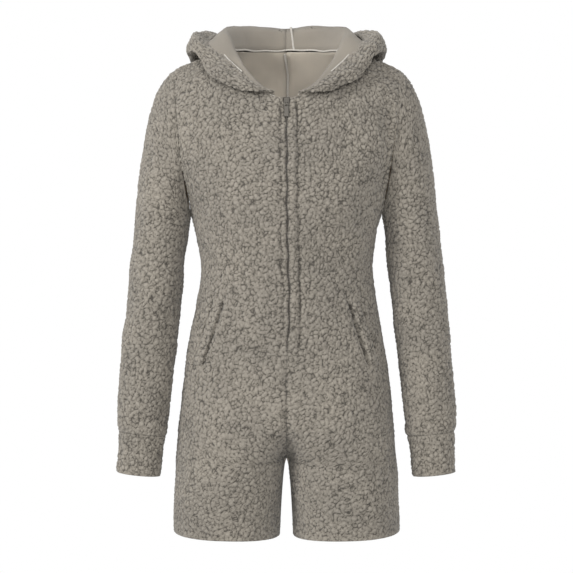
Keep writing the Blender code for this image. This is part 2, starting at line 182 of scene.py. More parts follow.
def upper_rows(face):
    """Rows from the chest to the neckline and shoulder: even steps up, then the sine of a quarter turn."""
    across = np.linspace(0, 1, COLUMNS)[None, :]
    low_x = lower_rows_at_underarm(across)
    top_x = np.interp(across, TOP_SHARES, TOP_ACROSS)
    at_neck = across <= NECK_SHARE + 1e-9
    fall = (np.minimum(top_x, NECK_HALF) / NECK_HALF) ** NECK_POWER[face]
    top_z = np.where(at_neck, NECK_SIDE - NECK_DROP[face] * (1 - fall), shoulder_line(top_x))
    s = np.linspace(0, 1, UPPER_ROWS)[1:, None]
    turn = np.sin(np.clip((s - EVEN_ROWS) / (1 - EVEN_ROWS), 0, 1) * math.pi / 2)
    t = np.where(s < EVEN_ROWS, s * EVEN_RISE / EVEN_ROWS, EVEN_RISE + (1 - EVEN_RISE) * turn)
    z = UNDERARM + (top_z - UNDERARM) * t
    side = column(ARMHOLE, ARMHOLE_NAMES, "across", z[:, -1])[:, None]
    straight = low_x[:, -1:] + (SHOULDER_HALF - low_x[:, -1:]) * t
    x = low_x + (top_x - low_x) * t + across * (side - straight)
    y = reach(x, z, face)
    y[-1] = np.where(top_x[0] >= NECK_HALF - 1e-6, 0, y[-1])
    return np.stack([x, y, z], axis=-1)


def zip_wander(height):
    """How far the zip's line strays from the middle: the table's slow bend and small waves on it."""
    fade = ease((ZIP_TOP - 36 - height) / 30) * ease((height - ZIP_END + 30) / 30)
    bend = column(WANDER, WANDER_NAMES, "aside", height, level=True)
    return bend + fade * RIPPLE_HIGH * np.sin(height / RIPPLE_LONG)


def panel_form(face):
    """Grid of a left body panel in millimetres, hem first; its middle edge is drawn to the zip or shut."""
    grid = np.concatenate([lower_rows(face), upper_rows(face)])
    grid[..., 1] += SEAM
    edge = np.full(len(grid), -OVERLAP)
    if face == "front":
        height = grid[:, 0, 2]
        closing = ease((height - ZIP_END) / 14)
        slider = ease((height - ZIP_TOP + 45) / 45)
        gap = ZIP_GAP + ZIP_GAP_WAVE * np.sin(height / ZIP_GAP_LONG)
        edge = gap * closing + SLIDER_GAP * slider - OVERLAP * (1 - closing)
        grid[..., 1] *= -1
    closed = (grid[:, :1, 0] < NEARLY) | (edge[:, None] > SEAM)
    grid[..., 0] += closed * (edge[:, None] - grid[:, :1, 0]) * np.exp(-grid[..., 0] / DRAWN)
    return grid


forms = {face: panel_form(face) for face in ("front", "back")}
for face, form in forms.items():
    print(face, "panel grid:", form.shape[:2])

# %% [markdown]
# ## Sleeves and cuffs as forms
# A set-in sleeve starts on the armhole seam.  Its cap leaves the shoulder sideways and turns down, so
# each line of it is a cubic from the seam to the first full ring of the arm.  Below, rings follow the
# arm, which hangs and swings a little to the front.

# %% Sizes of the sleeve
SLEEVE_NAMES = ("height", "outer", "inner", "depth", "forward")
SLEEVE = (
    (-262, 243.5, 155.5, 53, 0), (-314, 250, 161, 51, 2), (-378, 255, 167, 48, 5),
    (-442, 261, 174, 44, 11), (-506, 266, 181, 40, 18), (-560, 268.5, 186, 37, 24),
    (-588, 266.5, 189.5, 34, 27),
)
CUFF = (
    (-589, 266.2, 190.5, 33.5, 27), (-603, 267, 193.5, 32, 28.5), (-630, 267.5, 196, 30.5, 31),
    (-652, 268, 198.5, 29.5, 33),
)
RING = 150                  # columns of a dense ring
SLEEVE_CLEAR = 0.1
CAP_ROWS, ARM_ROWS, CUFF_ROWS = 128, 165, 32
CUFF_SPAN = (0.8, 4)        # the even rows stop this far from the cuff's seam and fold
CAP_START_PULL, CAP_END_PULL = 0.6, 0.9
CAP_LEAVES_TOP, CAP_LEAVES_FOOT, CAP_ARRIVES = (0.90, 0, -0.44), (0.2, 0, -0.98), (0.1, 0, -0.995)
SLEEVE_SLANT, SLANT_STARTS = 0.1, 200


# %% Sleeve and cuff
def armhole_ring(angle):
    """Points of the armhole seam at even angles: the angle is the share of the seam's length, front first."""
    count = len(upper_rows("front"))
    front = forms["front"][-count - 1:, -1][::-1]
    back = forms["back"][-count - 1:, -1]
    points = []
    for half in (front, back):
        length = np.concatenate([[0], np.cumsum(np.linalg.norm(np.diff(half, axis=0), axis=1))])
        points.append((math.pi * length / length[-1], half))
    turn = np.concatenate([points[0][0], math.pi + points[1][0][1:]])
    line = np.concatenate([points[0][1], points[1][1][1:]])
    ring = np.stack([np.interp(angle, turn, line[:, k]) for k in range(3)], axis=-1)
    return ring


def sleeve_ring(table, height, angle):
    """Ring at a height: a circle of the angle stretched to the arm's width and depth, and tipped."""
    height = np.asarray(height, float)[:, None]
    outer, inner, depth, forward = (column(table, SLEEVE_NAMES, name, height) for name in SLEEVE_NAMES[1:])
    centre = (outer + inner) / 2
    slant = SLEEVE_SLANT * np.clip((SLEEVE[0][0] - height) / SLANT_STARTS, 0, 1)
    x = centre + (outer - inner) / 2 * np.cos(angle)
    y = -forward - depth * np.sin(angle)
    return np.stack([x, y, height + slant * (x - centre)], axis=-1)


def sleeve_form():
    """Grid of the left sleeve: the cap's cubics, then rings down to the cuff."""
    angle = np.linspace(0, 2 * math.pi, RING, endpoint=False)
    start = armhole_ring(angle) + np.array([SLEEVE_CLEAR, 0, 0])
    end = sleeve_ring(SLEEVE, [SLEEVE[0][0]], angle)[0]
    lean = ((1 + np.cos(angle)) / 2)[:, None]
    leave = lean * np.array(CAP_LEAVES_TOP) + (1 - lean) * np.array(CAP_LEAVES_FOOT)
    length = np.linalg.norm(end - start, axis=1)[:, None]
    t = np.linspace(0, 1, CAP_ROWS)[:, None, None]
    place = start * (2 * t**3 - 3 * t**2 + 1) + end * (3 * t**2 - 2 * t**3)
    pull = leave * CAP_START_PULL * (t**3 - 2 * t**2 + t)
    pull = pull + np.array(CAP_ARRIVES) * CAP_END_PULL * (t**3 - t**2)
    cap = place + length * pull
    down = np.linspace(SLEEVE[0][0], SLEEVE[-1][0], ARM_ROWS)[1:]
    return np.concatenate([cap, sleeve_ring(SLEEVE, down, angle)])


def cuff_form():
    """Grid of the left cuff band, with finer rows at its free edge."""
    angle = np.linspace(0, 2 * math.pi, RING, endpoint=False)
    fold = CUFF[-1][0]
    drop = np.linspace(CUFF[0][0] + CUFF_SPAN[0], fold + CUFF_SPAN[1], CUFF_ROWS)
    return sleeve_ring(CUFF, np.concatenate([drop, fold + np.array(EDGE_STEPS[::-1])]), angle)


forms["sleeve"] = sleeve_form()
forms["cuff"] = cuff_form()
print("sleeve grid:", forms["sleeve"].shape[:2], "cuff grid:", forms["cuff"].shape[:2])

# %% [markdown]
# ## The hood as a form
# A hood that lies down is one folded strip: up from the neck seam over an inner crest, out and down,
# round a far turn, and back over the top to its open edge.  The fold is given by five stations at
# places round the neck, and a Catmull-Rom curve joins them.

# %% Sizes of the hood
HOOD_NAMES = ("round", "heading", "crest_out", "crest_up", "under_out", "under_up", "turn_out",
              "turn_up", "top_out", "top_up", "edge_out", "edge_up")
HOOD = (
    (0.00, 25, 1, 3, 3, 3, 5, 3, 7, 6, 5, 9),
    (0.10, 34, 2, 3, 9, -4, 16, -8, 17, 2, 7, 7),
    (0.20, 42, 3, 4, 16, -13, 25, -21, 28, -4, 10, 5),
    (0.35, 56, 4, 6, 27, -17, 46, -28, 44, -7, 18, 3),
    (0.48, 76, 8, 15, 43, 1, 64, -4, 58, 15, 26, 9),
    (0.56, 90, 13, 25, 54, -5, 73, -1, 61, 28, 33, 13),
    (0.70, 132, 20, 41, 62, -30, 86, -38, 80, 36, 50, 34),
    (0.85, 160, 14, 36, 66, -100, 90, -135, 104, -36, 58, 18),
    (1.00, 180, 12, 29, 58, -125, 82, -168, 106, -56, 54, 8),
)
HOOD_PLACES, HOOD_ROWS, HOOD_FINE = 161, 187, 600


# %% Hood
def spline(points, at):
    """Catmull-Rom curve through the stations on axis 0, at shares of its whole run."""
    ends = np.concatenate([2 * points[:1] - points[1:2], points, 2 * points[-1:] - points[-2:-1]])
    at = np.asarray(at) * (len(points) - 1)
    i = np.minimum(at.astype(int), len(points) - 2)
    t = (at - i).reshape((-1,) + (1,) * (points.ndim - 1))
    a, b, c, d = (ends[i + k] for k in range(4))
    square, cube = 2 * a - 5 * b + 4 * c - d, 3 * b - a - 3 * c + d
    return 0.5 * (2 * b + (c - a) * t + square * t**2 + cube * t**3)


def neck_seam(count):
    """Left half of the neck seam at even distances, from the hood's front end round to the back."""
    front, back = forms["front"][-1], forms["back"][-1]
    at_neck = np.linspace(0, 1, COLUMNS) <= NECK_SHARE + 1e-9
    ahead = front[at_neck & (front[:, 0] >= HOOD_START)]
    line = np.concatenate([ahead, back[at_neck][::-1][1:]])
    line[-1, 0] = 0
    length = np.concatenate([[0], np.cumsum(np.linalg.norm(np.diff(line, axis=0), axis=1))])
    even = np.linspace(0, length[-1], count)
    return np.stack([np.interp(even, length, line[:, k]) for k in range(3)], axis=-1)


def hood_form():
    """Grid of the left half of the hood: rows run from the neck seam to the open edge."""
    seam = neck_seam(HOOD_PLACES)
    place = np.linspace(0, 1, HOOD_PLACES)
    heading = np.radians(column(HOOD, HOOD_NAMES, "heading", place, level=True))
    away = np.stack([np.sin(heading), -np.cos(heading)], axis=-1)
    stations = [np.zeros((len(place), 2))]
    for name in ("crest", "under", "turn", "top", "edge"):
        pair = (column(HOOD, HOOD_NAMES, name + end, place, level=True) for end in ("_out", "_up"))
        stations.append(np.stack(list(pair), axis=-1))
    fine = spline(np.array(stations), np.linspace(0, 1, HOOD_FINE))
    steps = np.linalg.norm(np.diff(fine, axis=0), axis=2).mean(axis=1)
    length = np.concatenate([[0], np.cumsum(steps)]) / steps.sum()
    even = np.interp(np.linspace(0, 1, HOOD_ROWS), length, np.linspace(0, 1, HOOD_FINE))
    fold = spline(np.array(stations), even)
    flat = seam[None, :, :2] + away[None] * fold[..., :1]
    rise = seam[None, :, 2] + fold[..., 1] + 2 * SEAM
    grid = np.concatenate([flat, rise[..., None]], axis=-1)
    grid[:, -1, 0] = -OVERLAP
    return grid


forms["hood"] = hood_form()
print("hood grid:", forms["hood"].shape[:2])

# %% [markdown]
# ## Pile
# Teddy fleece is a knit whose long pile has curled into small knots.  Each knot is a cell round a
# seed point, and dark cracks run where two cells are equally near.  Seeds are scattered in space, one
# to a cube, so the pattern has no stretch and no seam wherever the cloth bends.

# %% Knots of the pile
KNOT = 7.2                  # usual size of a knot
CURL = 3.1                  # size of the curls within it
PILE = 2.5                  # height of the knots above their cracks
KNOT_BEND, CURL_BEND = 1.9, 0.6         # how far a slow swell bends the knots, and the curls' share of it
ROUNDED = 0.5               # a knot is flat where its second seed is this much farther than its first
KNOT_SHARE, CURL_SHARE = 0.78, 0.22
WAVES = 7                   # sines in a swell


def scatter(address, seed):
    """Three numbers from 0 to 1 for each whole-number address: fraction of a large sine, a plain hash."""
    keys = np.array([[127.1, 311.7, 74.7], [269.5, 183.3, 246.1], [113.5, 271.9, 124.6]])
    return np.modf(np.abs(np.sin(address @ keys.T + seed) * 43758.5453))[0]


def cells(points, size, seed):
    """Distances to the nearest and second nearest seed, as shares of the size."""
    place = points / size
    home = np.floor(place)
    near = np.full(len(points), 9.0)
    second = np.full(len(points), 9.0)
    for step in np.ndindex(3, 3, 3):
        cube = home + np.array(step) - 1
        gap = np.linalg.norm(cube + scatter(cube, seed) - place, axis=1)
        second = np.minimum(second, np.maximum(near, gap))
        near = np.minimum(near, gap)
    return near, second


def waves(points, length, seed):
    """Slow uneven swell from -1 to 1: the mean of seven sines in scattered directions."""
    turn = scatter(np.arange(3.0 * WAVES).reshape(WAVES, 3), seed) * 2 - 1
    turn /= np.linalg.norm(turn, axis=1)[:, None]
    phase = points @ turn.T * (2 * math.pi / length) + np.arange(WAVES) * 2.4
    return np.sin(phase).mean(axis=1) * 1.6


def pile_height(points):
    """Height of the pile from 0 in a crack to 1 on a knot: rounded cells, with smaller curls in them."""
    bend = np.stack([waves(points, 13, 1.0 + k) for k in range(3)], axis=-1) * KNOT_BEND
    near, second = cells(points + bend, KNOT, 3.0)
    knot = 1 - (1 - np.clip((second - near) / ROUNDED, 0, 1)) ** 2
    near, second = cells(points + bend * CURL_BEND, CURL, 8.0)
    curl = np.clip((second - near) / ROUNDED, 0, 1)
    closed = np.clip(0.6 * waves(points, 17, 5.0) - 0.3, 0, 0.8)
    knot = knot + (1 - knot) * closed
    return np.clip(KNOT_SHARE * knot + CURL_SHARE * curl, 0, 1)


sample = np.random.default_rng(1).random((100, 3)) * 90
print("pile of 100 points, mean height:", pile_height(sample).mean())

# %% [markdown]
# ## Creases
# Worn fleece is too thick for sharp folds, so its creases are soft troughs and ridges.  Each is a
# line from one point to another, seen from the front, with a half width and a depth.  They are listed
# one by one, and the back has its own.

# %% Table of creases
CREASES = {
    "front": (
        (158, -70, 163, -135, 15, -7.0),       # hollow before the left arm
        (160, -135, 148, -215, 11, -4.0),
        (-158, -85, -150, -200, 12, -2.2),
        (96, -95, 84, -190, 17, -2.2),         # soft fall from the left shoulder
        (100, -215, 145, -238, 8, -1.8),       # drag from the underarms
        (-95, -210, -142, -236, 8, -1.6),
        (60, -318, 132, -334, 12, -1.6),       # the waist
        (-48, -322, -128, -340, 11, -1.4),
        (-20, -352, -90, -345, 9, -0.9),
        (-86, -365, -112, -455, 6, 1.7),       # ridge inside the right pocket
        (-104, -372, -134, -470, 4, -2.0),
        (97, -378, 128, -480, 5.5, -2.6),      # the left pocket's opening
        (88, -385, 116, -470, 8, 1.4),
        (9, -600, 62, -560, 10, -2.0),         # drags from the crotch
        (-9, -604, -54, -575, 9, -1.8),
        (12, -560, 40, -520, 9, -1.1),
        (35, -690, 120, -668, 14, -1.1),
        (-45, -660, -130, -682, 14, -1.0),
    ),
    "back": (
        (-70, -318, 66, -326, 13, -3.0),       # the waist's folds
        (-96, -342, 40, -350, 11, -2.2),
        (20, -300, 104, -306, 10, -1.6),
        (128, -70, 140, -200, 13, -3.0),
        (-130, -62, -142, -190, 13, -2.7),
        (6, -560, 84, -610, 15, -3.4),         # under the seat
        (-6, -566, -78, -604, 15, -3.0),
        (52, -660, 140, -648, 14, -1.5),
        (-60, -655, -132, -668, 13, -1.3),
    ),
    "arm_front": (
        (174, -85, 178, -150, 9, -5.0),        # the same hollow, beyond the seam
        (168, -300, 222, -318, 10, -1.8),
        (176, -352, 236, -338, 9, -1.6),
        (186, -388, 240, -398, 8, -1.1),
        (-166, -296, -226, -306, 10, -1.6),
        (-180, -366, -240, -352, 9, -1.6),
        (-192, -420, -236, -428, 8, -1.0),
        (190, -572, 240, -566, 6, -1.3),
        (-192, -566, -236, -574, 6, -1.2),
    ),
    "arm_back": (
        (172, -320, 238, -346, 10, -2.2),
        (180, -372, 246, -362, 9, -1.9),
        (-174, -314, -240, -340, 10, -2.1),
        (-182, -380, -246, -366, 9, -1.8),
        (200, -470, 246, -486, 10, -1.2),
        (-202, -462, -250, -480, 10, -1.2),
    ),
}


def creases(points, name):
    """Sum of the named creases: depth times a bell curve of the distance from each line, seen in front."""
    total = np.zeros(points.shape[:-1])
    for x1, z1, x2, z2, half_width, depth in CREASES[name]:
        run = np.array([x2 - x1, z2 - z1], float)
        from_start = points[..., [0, 2]] - np.array([x1, z1])
        along = from_start @ run / (run @ run)
        off = from_start - np.clip(along, 0, 1)[..., None] * run
        fade = 0.35 + 0.65 * np.sin(math.pi * np.clip(along, 0, 1))
        total += depth * fade * np.exp(-(off**2).sum(axis=-1) / half_width**2)
    return total


print("creases:", {name: len(rows) for name, rows in CREASES.items()})

# %% [markdown]
# ## Shells
# A cloth piece has an outside, an inside and rims.  The outside is the fine grid, raised along its
# normals by creases and pile.  The inside is a coarser grid one wall below the lowest crease near it,
# because the knit back is smooth.  A strip of triangles closes each rim, so the shell has a volume.


# %% Normals, distances and the shell
def normals(grid, closed):
    """Unit cross product of the two directions of the grid; a closed grid wraps round its columns."""
    if closed:
        wide = np.concatenate([grid[:, -2:], grid, grid[:, :2]], axis=1)
        across = np.gradient(wide, axis=1)[:, 2:-2]
    else:
        across = np.gradient(grid, axis=1)
    n = np.cross(across, np.gradient(grid, axis=0))
    return n / np.maximum(np.linalg.norm(n, axis=-1, keepdims=True), 1e-9)


def edge_distances(grid):
    """Distance along the cloth to its first column, last column, first row and last row."""
    right = np.linalg.norm(np.diff(grid, axis=1), axis=-1)
    right = np.concatenate([np.zeros((len(grid), 1)), np.cumsum(right, axis=1)], axis=1)
    up = np.linalg.norm(np.diff(grid, axis=0), axis=-1)
    up = np.concatenate([np.zeros((1, grid.shape[1])), np.cumsum(up, axis=0)])
    return right, right[:, -1:] - right, up, up[-1:] - up


def rim(outer, inner, places):
    """Triangles that close the strip between an outer chain and the inner chain whose places are given."""
    i = np.arange(len(outer) - 1)
    nearest = np.abs(i[:, None] + 0.5 - places[None, :]).argmin(axis=1)
    first = np.stack([outer[1:], outer[:-1], inner[nearest]], axis=-1)
    j = np.arange(len(inner) - 1)
    meets = np.searchsorted(nearest, j + 1)
    second = np.stack([inner[:-1], inner[1:], outer[meets]], axis=-1)
    return np.concatenate([first, second])


def quads(index, closed):
    """Faces of a grid of vertex numbers."""
    if closed:
        index = np.concatenate([index, index[:, :1]], axis=1)
    a, b = index[:-1, :-1], index[:-1, 1:]
    c, d = index[1:, 1:], index[1:, :-1]
    return np.stack([a, b, c, d], axis=-1).reshape(-1, 4)


def add_mesh(name, points, faces, values=None):
    """Mesh object from millimetres, smooth shaded, with its named point values."""
    mesh = bpy.data.meshes.new(name)
    mesh.from_pydata((np.asarray(points) * MM).tolist(), [], faces)
    for key, value in (values or {}).items():
        mesh.attributes.new(key, "FLOAT", "POINT").data.foreach_set("value", value.astype(np.float32))
    mesh.shade_smooth()
    thing = bpy.data.objects.new(name, mesh)
    bpy.context.scene.collection.objects.link(thing)
    return thing


def shell(name, outside, inside, rows, columns, pile, closed=False, flip=False):
    """Closed cloth piece: the outside grid, the inside at the given rows and columns, and the rims."""
    count = outside.shape[0] * outside.shape[1]
    out = np.arange(count).reshape(outside.shape[:2])
    inn = (count + np.arange(len(rows) * len(columns))).reshape(len(rows), len(columns))
    strips = []
    if closed:
        wrap = np.append(columns, outside.shape[1])
        low = (np.append(out[0], out[0, 0]), np.append(inn[0], inn[0, 0]), wrap)
        top = (np.append(out[-1], out[-1, 0])[::-1], np.append(inn[-1], inn[-1, 0])[::-1],
               outside.shape[1] - wrap[::-1])
        strips = [rim(*low), rim(*top)]
    else:
        last_row, last_column = outside.shape[0] - 1, outside.shape[1] - 1
        strips = [
            rim(out[0], inn[0], columns),
            rim(out[:, -1], inn[:, -1], rows),
            rim(out[-1, ::-1], inn[-1, ::-1], last_column - columns[::-1]),
            rim(out[::-1, 0], inn[::-1, 0], last_row - rows[::-1]),
        ]
    large = np.concatenate([quads(out, closed), quads(inn, closed)[:, ::-1]])
    small = np.concatenate(strips)
    if flip:
        large, small = large[:, ::-1], small[:, ::-1]
    points = np.concatenate([outside.reshape(-1, 3), inside.reshape(-1, 3)])
    knit = np.concatenate([np.zeros(count), np.ones(inside.shape[0] * inside.shape[1])])
    # The stored pile value sets the colour: the pile's height, less any painted shade of grooves and seams.
    height = np.concatenate([pile.reshape(-1), np.full(inside.shape[0] * inside.shape[1], 0.6)])
    thing = add_mesh(name, points, large.tolist() + small.tolist(), {"pile": height, "knit": knit})
    thing["triangles"] = 2 * len(large) + len(small)
    return thing


def picks(count, every, closed=False):
    """Every so manieth place of a row, its first and last included."""
    if closed:
        return np.arange(0, count, every)
    return np.unique(np.append(np.arange(0, count - every // 2, every), count - 1))

# %% [markdown]
# ## Dressing a form
# One function turns a form into its shell on either side of the body.  The mirror comes first, and
# pile and creases are added after it, so the two sides of the garment aren't each other's image.

# %% Dress a form
KNIT_STEP = 5               # the inside takes every fifth row and column
KNIT_LOW = 3                # and lies below the lowest crease within this many columns
STILL = 8                   # near the middle plane, relief doesn't move the cloth sideways
PILE_SUNK = 0.72            # the form runs at this share of the pile's height
SHADE_MEAN, SHADE_LEAST, SHADE_MORE = 0.62, 0.25, 0.6   # how the pile's height becomes the stored shade
EDGE_DEEPEST = -1.75        # no seam dips further, so no shell turns inside out
# Where to look on each left form to see which way is out: share of its rows and columns, direction.
OUTWARD = {
    "front": (0.5, 0.3, (0, -1, 0)), "back": (0.5, 0.3, (0, 1, 0)), "sleeve": (0.5, 0.5, (-1, 0, 0)),
    "cuff": (0.5, 0.5, (-1, 0, 0)), "hood": (0.01, 0.5, (1, 0, 0)),
}
# Which of the four edge distances is measured from the middle plane.
MIDDLE_COLUMN = {"front": 0, "back": 0, "hood": 1}


def outward(name, base, side, closed):
    """Normals that point out of the cloth, and whether the grid's own faces point the other way."""
    n = normals(base, closed)
    row, place, way = OUTWARD[name]
    seen = n[int(row * (len(n) - 1)), int(place * (n.shape[1] - 1))]
    flip = bool(seen @ (np.array(way) * np.array([side, 1, 1])) < 0)
    return (-n if flip else n), flip


def drape(points):
    """Slow unevenness of thick cloth: two swells of different lengths."""
    flat = points.reshape(-1, 3)
    return (1.3 * waves(flat, 83, 2.0) + 0.7 * waves(flat, 41, 4.0) - 0.4).reshape(points.shape[:-1])


def roll(distance, radius):
    """Fall of a rounded edge: a quarter circle of that radius, 0 beyond it."""
    share = np.clip(1 - distance / radius, 0, 1)
    return -radius * (1 - np.sqrt(1 - share**2))


def bell(distance, half_width):
    """Bell curve: 1 at the line and near 0 two half widths away."""
    return np.exp(-((distance / half_width) ** 2))


def dress(name, form, side, shape, closed=False):
    """Shell of a form: outside = form + normal x (lift + edge + pile x calm), inside = form + normal x
    (lowest lift near it - wall).  The shape gives lift, edge, calm and painted shade at every point."""
    base = form * np.array([side, 1, 1])
    n, flip = outward(name, base, side, closed)
    lift, edge, calm, painted_shade = shape(base, n, side)
    lift = lift + drape(base) * np.clip(1 + edge, 0.3, 1)
    pile = pile_height(base.reshape(-1, 3)).reshape(base.shape[:2])
    rows, columns = picks(len(base), KNIT_STEP), picks(base.shape[1], KNIT_STEP, closed)
    if name in MIDDLE_COLUMN:
        from_middle = edge_distances(base)[MIDDLE_COLUMN[name]]
        even = np.ones_like(from_middle)
        n = n * np.stack([1 - bell(from_middle, STILL), even, even], axis=-1)
    outside = base + n * (lift + edge + PILE * calm * (pile - PILE_SUNK))[..., None]
    near = range(-KNIT_LOW, KNIT_LOW + 1)
    deepest = np.minimum.reduce([np.roll(lift, places, axis=1) for places in near])
    inside = (base + n * (deepest - WALL)[..., None])[np.ix_(rows, columns)]
    shade = SHADE_MEAN + (pile - SHADE_MEAN) * (SHADE_LEAST + SHADE_MORE * calm)
    # Painted shade: the stored tone is made darker by the shape's painted shade in grooves and seams.
    shown = np.clip(shade - painted_shade, 0, 1)
    word = "left" if side > 0 else "right"
    return shell(f"{name}_cloth_{word}", outside, inside, rows, columns, shown, closed, flip)

# %% [markdown]
# ## Front and back
# The front edges roll down to the zip, with a sewn channel on each side of it; below the zip the two
# panels dip into the middle seam.  Under a pocket welt the pile is pressed flat.  The hem is turned,
# so its edge is round.

# %% Front and back panels
POCKET_TOP, POCKET_FOOT, POCKET_WELT = (101, -381), (131, -477), 14
# Each side's sewn channel by the zip: its line, its depth, and the band inside it: its place and height.
CHANNELS = {1: (17.0, -3.2, 9.0, 1.9), -1: (9.8, -2.0, 5.4, 1.1)}
# Each side's pocket: depth of the opening's groove and of the sewn line outside the welt.
GROOVES = {1: (-4.4, -2.8), -1: (-2.4, -1.8)}
SEAM_FADE = 10                      # creases fade out over this distance from a seam, so the seams stay shut
ARMHOLE_DIP = {1: 0.8, -1: 0.4}     # the left armhole seam shows more than the right one


def pocket_place(points):
    """Place along the pocket's line, 0 to 1, and distance outside it, on either side of the body."""
    along = (points[..., 2] - POCKET_TOP[1]) / (POCKET_FOOT[1] - POCKET_TOP[1])
    line = POCKET_TOP[0] + (POCKET_FOOT[0] - POCKET_TOP[0]) * along
    return along, np.abs(points[..., 0]) - line


def front_shape(base, n, side):
    """Lift, edge, calm and painted shade of a front panel: creases, the zip's channels, pockets, seams and
    hem.
    """
    mid, far, low, top = edge_distances(base)
    x, z = np.abs(base[..., 0] - zip_wander(base[..., 2])), base[..., 2]
    zipped = ease((ZIP_TOP + 2 - z) / 10) * ease((z - ZIP_END - 2) / 16)
    line, depth, band, height = CHANNELS[side]
    wavy = line + 0.9 * np.sin(z / 9.0) + 0.8 * np.sin(z / 23.0 + 2)
    sewn = zipped * bell(x - wavy, 2.0)
    below = ease((ZIP_END + 6 - z) / 30) * ease((z - CROTCH + 10) / 20)
    spread = 5.5 + 6 * ease((-520 - z) / 100)
    valley = (2.6 + 3.4 * ease((-500 - z) / 110)) * below * bell(x, spread)
    lift = creases(base, "front") * ease(far / SEAM_FADE) + depth * sewn
    lift = lift + zipped * height * bell(x - band, 4.3) - valley
    along, out = pocket_place(base)
    here = ease((along + 0.04) / 0.05) * ease((1.04 - along) / 0.05)
    opening = here * bell(out + 1.9, 1.9)
    outer = here * bell(out - POCKET_WELT - 1.2, 1.7)
    lift = lift + GROOVES[side][0] * opening + GROOVES[side][1] * outer
    armhole = bell(far, 3.2) * ease((z - UNDERARM) / 20) * (0.35 + 0.65 * ease((-95 - z) / 50))
    edge = -ARMHOLE_DIP[side] * armhole - 1.0 * bell(far, 2.2) * (z < UNDERARM)
    edge = edge + roll(low, 2.2) * 0.6 + roll(mid, 2.6) * 0.55 - 0.8 * bell(top, 2.4)
    under = here * ease((out + 0.5) / 1.5) * ease((POCKET_WELT - out) / 1.5)
    edge = np.maximum(edge - 0.7 * under, EDGE_DEEPEST)
    calm = (1 - 0.85 * under) * (1 - 0.5 * bell(mid, 3)) * (1 - 0.5 * sewn)
    calm = calm * (1 - 0.5 * bell(low, 4)) * (1 - 0.5 * bell(top, 4))
    # Painted shade: the zip's sewn channels, the pocket's opening and outer line, the middle seam's valley
    # below the zip and the front edges by the zip are painted darker, as the shade in them.
    painted_shade = 0.34 * sewn + 0.40 * opening + 0.22 * outer
    painted_shade = painted_shade + 0.25 * below * bell(x, 2.6) + 0.2 * zipped * bell(mid, 2)
    return lift, edge, calm, painted_shade


def back_shape(base, n, side):
    """Lift, edge, calm and painted shade of a back panel: creases, the middle seam, seams and hem."""
    mid, far, low, top = edge_distances(base)
    z = base[..., 2]
    seat = ease((-380 - z) / 120)
    valley = (0.8 + 3.4 * seat) * bell(np.abs(base[..., 0]), 5 + 7 * seat) * ease((z - CROTCH + 10) / 20)
    lift = creases(base, "back") - valley
    edge = -0.9 * bell(far, 2.6) - 1.0 * bell(mid, 2.2) - 0.8 * bell(top, 2.4) + roll(low, 2.2) * 0.6
    calm = (1 - 0.5 * bell(low, 4)) * (1 - 0.5 * bell(top, 4))
    # Painted shade: the back's middle seam is painted darker, as the shade in its groove.
    return lift, np.maximum(edge, EDGE_DEEPEST), calm, 0.2 * bell(mid, 2)


def wandered(form, side):
    """The front form with its middle moved sideways with the zip; both fronts move the same way."""
    moved = form.copy()
    shift = zip_wander(form[..., 2]) * np.exp(-form[..., 0] / 16)
    moved[..., 0] += side * shift
    return moved


cloth = {}
for side, word in SIDES:
    cloth["front_" + word] = dress("front", wandered(forms["front"], side), side, front_shape)
    cloth["back_" + word] = dress("back", forms["back"], side, back_shape)
print({name: thing["triangles"] for name, thing in cloth.items()})

# %% [markdown]
# ## Sleeves and cuffs
# The sleeve dips into the armhole seam and swells a little before it is gathered into the cuff.  The
# cuff is a band folded double, so its lower edge is a soft fold.


# %% Sleeves and cuffs
def sleeve_shape(base, n, side):
    """Lift, edge, calm and painted shade of a sleeve: creases on its two faces, seams, the swell over the
    cuff.
    """
    edges = edge_distances(base)
    from_cap, to_cuff = edges[2], edges[3]
    z = base[..., 2]
    ahead = ease(0.5 - 0.9 * n[..., 1])
    lift = ahead * creases(base, "arm_front") + (1 - ahead) * creases(base, "arm_back")
    lift = lift * ease(from_cap / SEAM_FADE)
    lift = lift + (1.7 if side > 0 else 0.9) * bell(to_cuff - 10, 7)
    armhole = bell(from_cap, 3.0) * (0.35 + 0.65 * ease((-95 - z) / 50))
    edge = -ARMHOLE_DIP[side] * armhole - (1.7 if side > 0 else 1.1) * bell(to_cuff, 2.2)
    calm = (1 - 0.3 * bell(from_cap, 4)) * (1 - 0.4 * bell(to_cuff, 4))
    # Painted shade: the sleeve is painted darker along the armhole seam below the shoulder, more on the left
    # sleeve, as the shade in the seam's hollow.
    return lift, edge, calm, (0.2 if side > 0 else 0.05) * bell(from_cap, 2.5) * ease((-95 - z) / 50)


def cuff_shape(base, n, side):
    """Lift, edge, calm and painted shade, none here, of a cuff: a seam above, a fold below, and a faint waist
    between.
    """
    edges = edge_distances(base)
    from_seam, to_fold = edges[2], edges[3]
    lift = -0.9 * bell(from_seam - 26, 16)
    edge = -1.3 * bell(from_seam, 2.0) + roll(to_fold, 2.8) * 0.55
    calm = (1 - 0.4 * bell(from_seam, 4)) * (1 - 0.5 * bell(to_fold, 4))
    return lift, edge, calm, 0 * from_seam


for side, word in SIDES:
    cloth["sleeve_" + word] = dress("sleeve", forms["sleeve"], side, sleeve_shape, closed=True)
    cloth["cuff_" + word] = dress("cuff", forms["cuff"], side, cuff_shape, closed=True)
print({name: thing["triangles"] for name, thing in list(cloth.items())[4:]})

# %% [markdown]
# ## Hood
# The hood's pile side faces the wearer's back where the cloth first turns down, and shows again on
# the folded lobes and the pouch.  The smooth side shows inside the neck.


